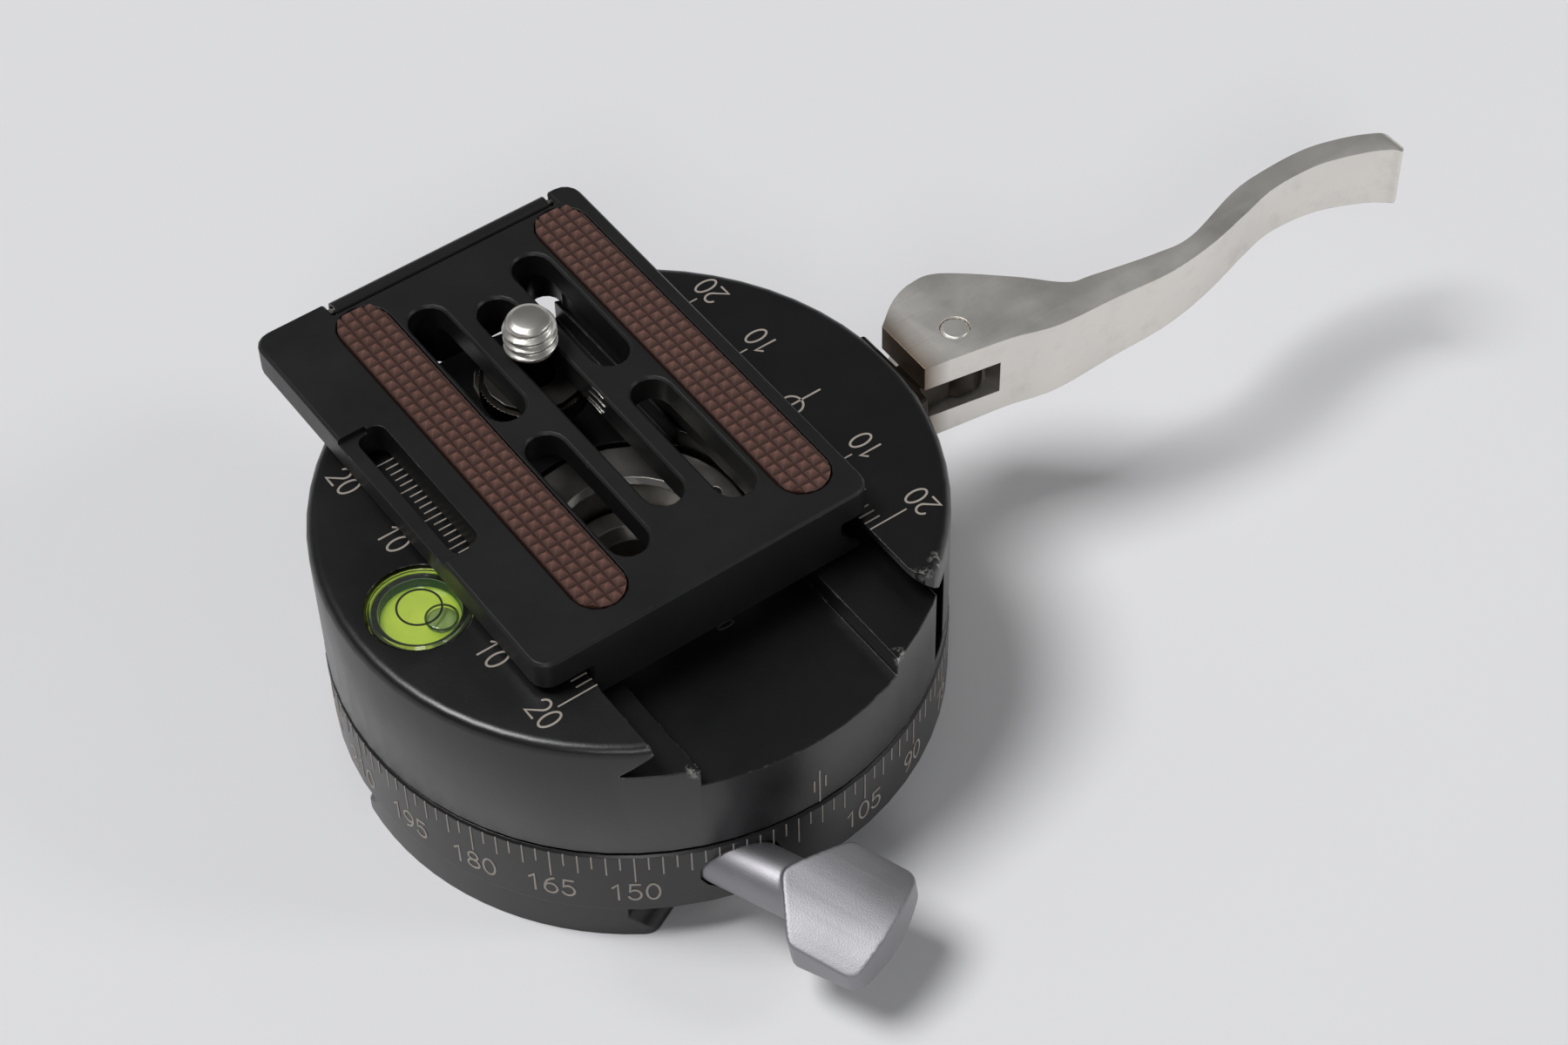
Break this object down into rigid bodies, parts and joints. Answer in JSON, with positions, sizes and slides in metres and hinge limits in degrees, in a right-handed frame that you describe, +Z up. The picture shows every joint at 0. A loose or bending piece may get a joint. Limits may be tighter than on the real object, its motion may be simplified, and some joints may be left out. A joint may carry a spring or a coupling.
{
  "type": "panning clamp",
  "caption": "Round panning base with a cam-lever dovetail clamp, bubble level and pan lock, holding a slotted quick-release plate with a camera screw.",
  "frame": {"origin": "centre of the foot's underside, on the pan axis", "axes": "+Z up, +X across the jaws towards the lever, +Y along the channel towards the plate's far end"},
  "size_m": [0.1433, 0.0938, 0.0442],
  "materials": {
    "anodised": "black hard anodised, satin",
    "plate_black": "black anodised, matte",
    "stainless": "brushed stainless",
    "steel": "bright turned steel",
    "dark_steel": "dark hardened steel",
    "blasted": "bead blasted, clear anodised",
    "brass": "turned",
    "plastic": "bearing plastic",
    "rubber": "moulded pyramids, matte",
    "level_green": "lime fluid and cup",
    "clear": "clear acrylic"
  },
  "bodies": {
    "base": {"base_disc": "anodised", "pan_spindle": "steel", "spindle_screw_1": "steel", "spindle_screw_2": "steel", "spindle_screw_3": "steel", "thrust_washer": "plastic", "friction_washer": "steel", "spindle_nut": "steel"},
    "turntable": {"clamp_body": "anodised", "guide_pin_front": "steel", "guide_pin_back": "steel", "return_spring_front": "steel", "return_spring_back": "steel", "drawbar": "steel", "level_cup": "level_green", "level_fluid": "level_green", "level_lens": "clear"},
    "jaw": {"moving_jaw": "anodised", "wear_plate": "dark_steel"},
    "lever": {"cam_lever": "stainless", "pivot_pin": "stainless"},
    "brake": {"brake_cotter": "brass"},
    "knob": {"lock_knob": "blasted", "lock_screw": "steel"},
    "plate": {"quick_release_plate": "plate_black", "pad_left": "rubber", "pad_right": "rubber", "stop_pin_left": "steel", "stop_pin_right": "steel"},
    "screw_carriage": {"screw_washer": "steel"},
    "screw": {"camera_screw": "stainless"},
    "ring": {"screw_ring": "stainless"},
    "stop": {"anti_twist_stop": "plate_black"}
  },
  "joints": [
    {"name": "pan_turn", "type": "hinge", "parent": "base", "child": "turntable", "pos_m": [0, 0, 0.0158], "axis": [0, 0, 1], "continuous": true},
    {"name": "jaw_slide", "type": "slide", "parent": "turntable", "child": "jaw", "axis": [-1, 0, 0], "range_m": [0, 0.0022], "deforming": ["return_spring_front", "return_spring_back"]},
    {"name": "lever_turn", "type": "hinge", "parent": "turntable", "child": "lever", "pos_m": [0.0454, 0, 0.026], "axis": [0, 0, 1], "range_deg": [0, 120]},
    {"name": "lock_slide", "type": "slide", "parent": "base", "child": "brake", "axis": [-0.3907, 0.9205, 0], "range_m": [-0.0004999, 0.0003333]},
    {"name": "knob_turn", "type": "hinge", "parent": "brake", "child": "knob", "pos_m": [-0.02034, -0.00864, 0.0108], "axis": [-0.3907, 0.9205, 0], "range_deg": [-180, 120]},
    {"name": "plate_slide", "type": "slide", "parent": "turntable", "child": "plate", "axis": [0, 1, 0], "range_m": [-0.0344, 0.012]},
    {"name": "screw_slide", "type": "slide", "parent": "plate", "child": "screw_carriage", "axis": [0, 1, 0], "range_m": [-0.0257, 0.0028]},
    {"name": "screw_turn", "type": "hinge", "parent": "screw_carriage", "child": "screw", "pos_m": [0.0012, 0.0206, 0.034], "axis": [0, 0, 1], "continuous": true},
    {"name": "ring_fold", "type": "hinge", "parent": "screw", "child": "ring", "pos_m": [0.0012, 0.0206, 0.03115], "axis": [-1, 0, 0], "range_deg": [0, 18]},
    {"name": "stop_flip", "type": "hinge", "parent": "plate", "child": "stop", "pos_m": [0, 0.03998, 0.03797], "axis": [1, 0, 0], "range_deg": [0, 180]}
  ],
  "couplings": [
    {"joint": "jaw_slide", "follows": "lever_turn", "m_per_rad": 0.00105},
    {"joint": "knob_turn", "follows": "lock_slide", "rad_per_m": 6283.2}
  ]
}
